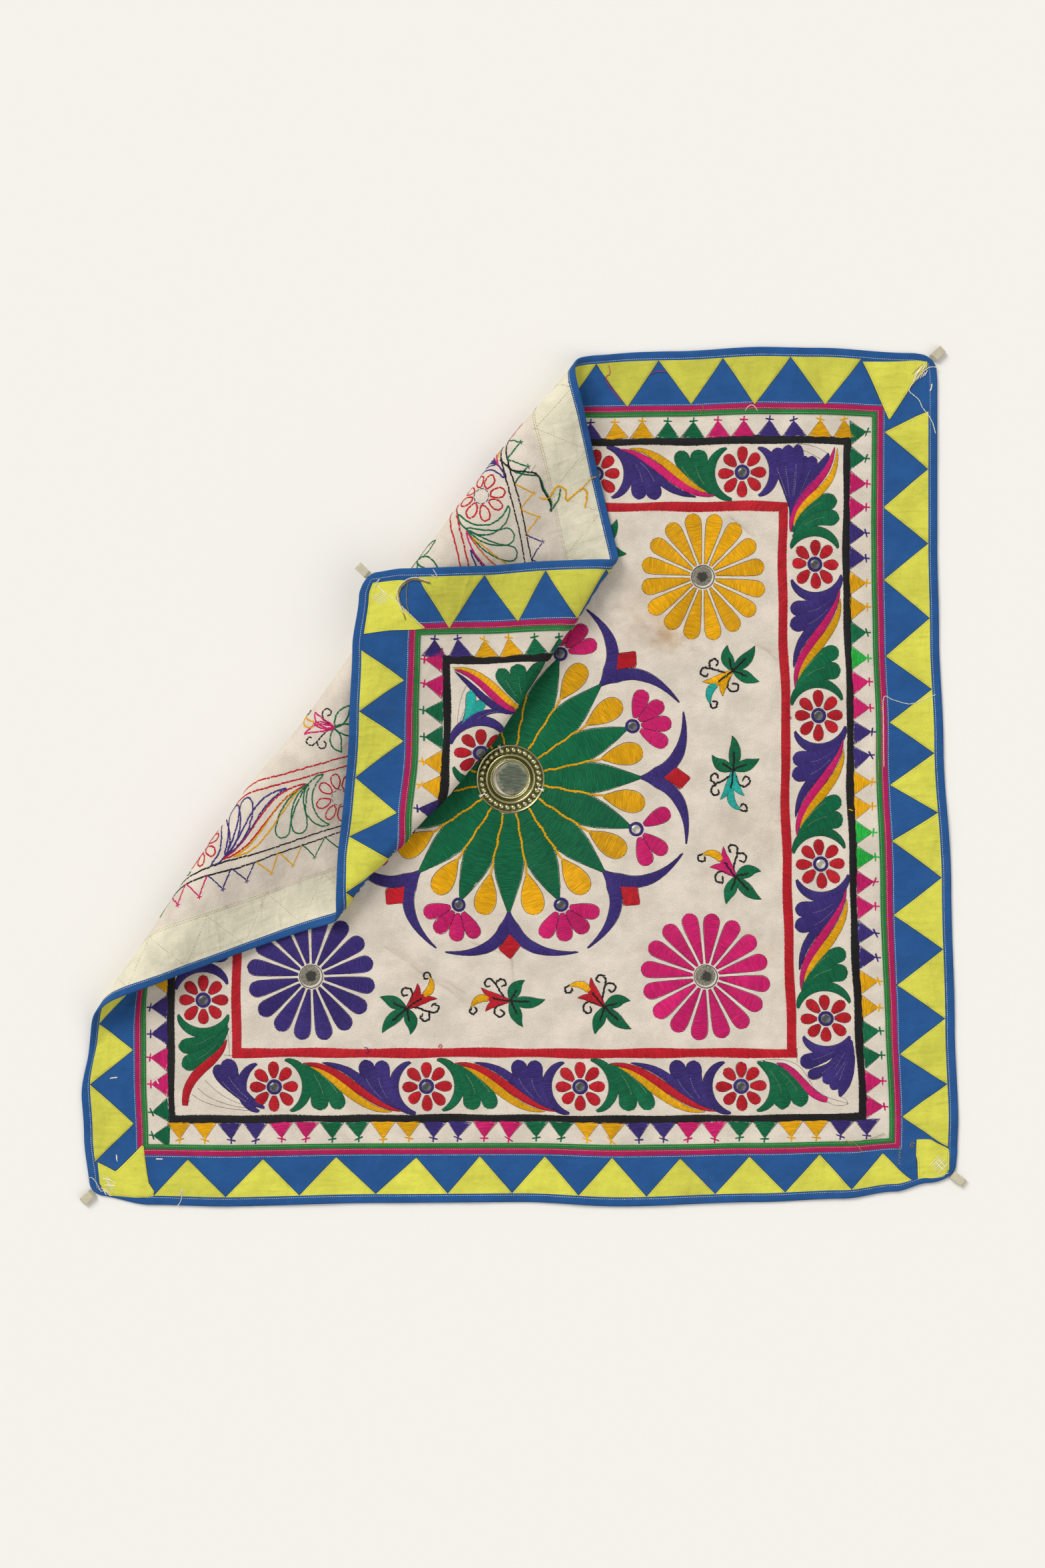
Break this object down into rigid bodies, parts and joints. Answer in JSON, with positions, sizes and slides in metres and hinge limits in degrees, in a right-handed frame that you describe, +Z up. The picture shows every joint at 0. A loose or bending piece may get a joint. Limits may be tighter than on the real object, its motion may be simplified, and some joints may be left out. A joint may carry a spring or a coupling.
{
  "type": "embroidered wall hanging",
  "caption": "Square embroidered cotton wall hanging lying flat, one corner folded back on itself, with a mirrored brass disc and corner hanging loops.",
  "frame": {"origin": "bottom centre of the bounding box, on the surface that the cloth lies on", "axes": "+X to the cloth's right, +Y to its top edge, +Z up, out of the face"},
  "size_m": [1.0154, 0.9852, 0.055],
  "materials": {
    "ground_cotton": "plain-weave cream cotton with satin-stitch embroidery",
    "blue_binding": "blue cotton tape with white machine stitching",
    "blue_border_cotton": "blue cotton with yellow-green applique triangles",
    "cream_lining": "plain cream cotton with zigzag stitch lines",
    "pink_strip_cotton": "pink cotton strip, stitched",
    "green_strip_cotton": "green cotton strip, stitched",
    "cream_tape": "cream cotton tape",
    "stamped_brass": "olive-toned stamped brass sheet",
    "mirror_glass": "thin silvered glass",
    "embroidery_thread": "floss in green, yellow, purple, pink, red, black and turquoise",
    "yellow_applique": "yellow-green cotton",
    "sewing_thread": "white and cream cotton thread"
  },
  "bodies": {
    "root": {"ground_cloth": "ground_cotton", "binding_left": "blue_binding", "binding_right": "blue_binding", "binding_top": "blue_binding", "binding_bottom": "blue_binding", "border_left": "blue_border_cotton", "border_right": "blue_border_cotton", "border_top": "blue_border_cotton", "border_bottom": "blue_border_cotton", "lining_left": "cream_lining", "lining_right": "cream_lining", "lining_top": "cream_lining", "lining_bottom": "cream_lining", "pink_strip_left": "pink_strip_cotton", "pink_strip_right": "pink_strip_cotton", "pink_strip_top": "pink_strip_cotton", "pink_strip_bottom": "pink_strip_cotton", "green_strip_left": "green_strip_cotton", "green_strip_right": "green_strip_cotton", "green_strip_top": "green_strip_cotton", "green_strip_bottom": "green_strip_cotton", "disc_ring": "stamped_brass", "disc_mirror": "mirror_glass", "rosette_mirror_top_right": "mirror_glass", "rosette_mirror_bottom_right": "mirror_glass", "rosette_mirror_bottom_left": "mirror_glass", "loop_top_right": "cream_tape", "loop_bottom_right": "cream_tape", "loop_bottom_left": "cream_tape", "loop_top_left": "cream_tape"}
  },
  "joints": []
}
